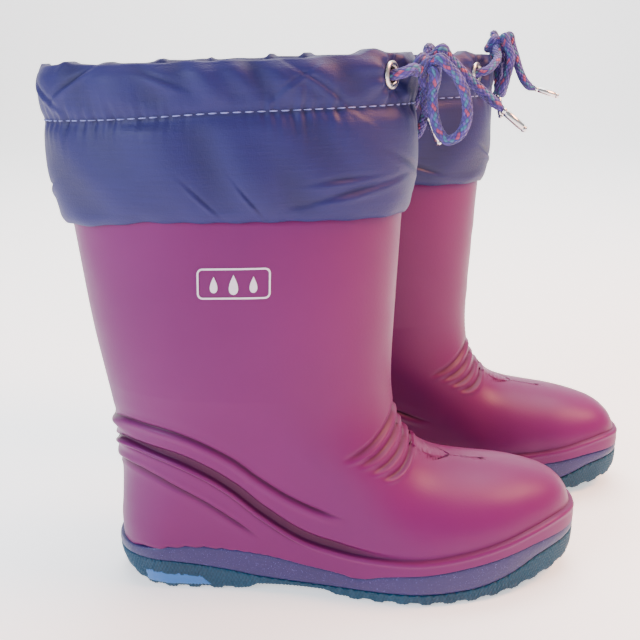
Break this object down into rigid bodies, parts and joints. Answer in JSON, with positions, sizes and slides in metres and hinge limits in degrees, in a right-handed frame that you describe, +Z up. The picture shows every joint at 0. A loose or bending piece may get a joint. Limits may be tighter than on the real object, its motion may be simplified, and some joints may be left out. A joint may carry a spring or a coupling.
{
  "type": "rain boots",
  "caption": "Child's moulded rain boots, right and left, with a hollow foot and shaft, a layered sole and a nylon collar closed by a drawcord bow.",
  "frame": {"origin": "middle of the pair's footprint box, on the floor, measured without the drawcord's pieces", "axes": "+X to the toes, +Y from the right boot to the left boot, +Z up"},
  "size_m": [0.299, 0.207, 0.2656],
  "materials": {
    "plum_pvc": "satin moulded PVC",
    "indigo_pvc": "satin moulded PVC",
    "teal_rubber": "fine ribbed rubber",
    "foam": "knit over foam",
    "print": "raised print",
    "nylon": "coated plain-weave nylon",
    "nickel": "satin nickel plate",
    "cord": "round braid with flecks"
  },
  "bodies": {
    "right_boot": {"right_upper": "plum_pvc", "right_midsole_band": "indigo_pvc", "right_outsole": "teal_rubber", "right_insole": "foam", "right_badge": "print", "right_collar": "nylon", "right_outer_eyelet": "nickel", "right_inner_eyelet": "nickel", "right_casing_cord": "cord", "right_outer_cord_stem": "cord", "right_inner_cord_stem": "cord"},
    "right_bow": {"right_bow_knot": "cord", "right_outer_bow_loop": "cord", "right_inner_bow_loop": "cord", "right_hanging_cord_end": "cord", "right_hanging_aglet": "nickel"},
    "right_free_end": {"right_free_cord_end": "cord", "right_free_aglet": "nickel"},
    "left_boot": {"left_upper": "plum_pvc", "left_midsole_band": "indigo_pvc", "left_outsole": "teal_rubber", "left_insole": "foam", "left_badge": "print", "left_collar": "nylon", "left_outer_eyelet": "nickel", "left_inner_eyelet": "nickel", "left_casing_cord": "cord", "left_outer_cord_stem": "cord", "left_inner_cord_stem": "cord"},
    "left_bow": {"left_bow_knot": "cord", "left_outer_bow_loop": "cord", "left_inner_bow_loop": "cord", "left_hanging_cord_end": "cord", "left_hanging_aglet": "nickel"},
    "left_free_end": {"left_free_cord_end": "cord", "left_free_aglet": "nickel"}
  },
  "joints": [
    {"name": "boots_apart", "type": "slide", "parent": "right_boot", "child": "left_boot", "axis": [0, 1, 0], "range_m": [0, 0.15]},
    {"name": "right_bow_draw", "type": "slide", "parent": "right_boot", "child": "right_bow", "axis": [1, 0, 0], "range_m": [0, 0.01], "deforming": ["right_outer_cord_stem", "right_inner_cord_stem"]},
    {"name": "right_end_swing", "type": "hinge", "parent": "right_bow", "child": "right_free_end", "pos_m": [0.0207, -0.07165, 0.25], "axis": [0, 1, 0], "range_deg": [-40, 30]},
    {"name": "left_bow_draw", "type": "slide", "parent": "left_boot", "child": "left_bow", "axis": [1, 0, 0], "range_m": [0, 0.01], "deforming": ["left_outer_cord_stem", "left_inner_cord_stem"]},
    {"name": "left_end_swing", "type": "hinge", "parent": "left_bow", "child": "left_free_end", "pos_m": [0.0668, 0.04965, 0.2605], "axis": [0, 1, 0], "range_deg": [-40, 0]}
  ]
}
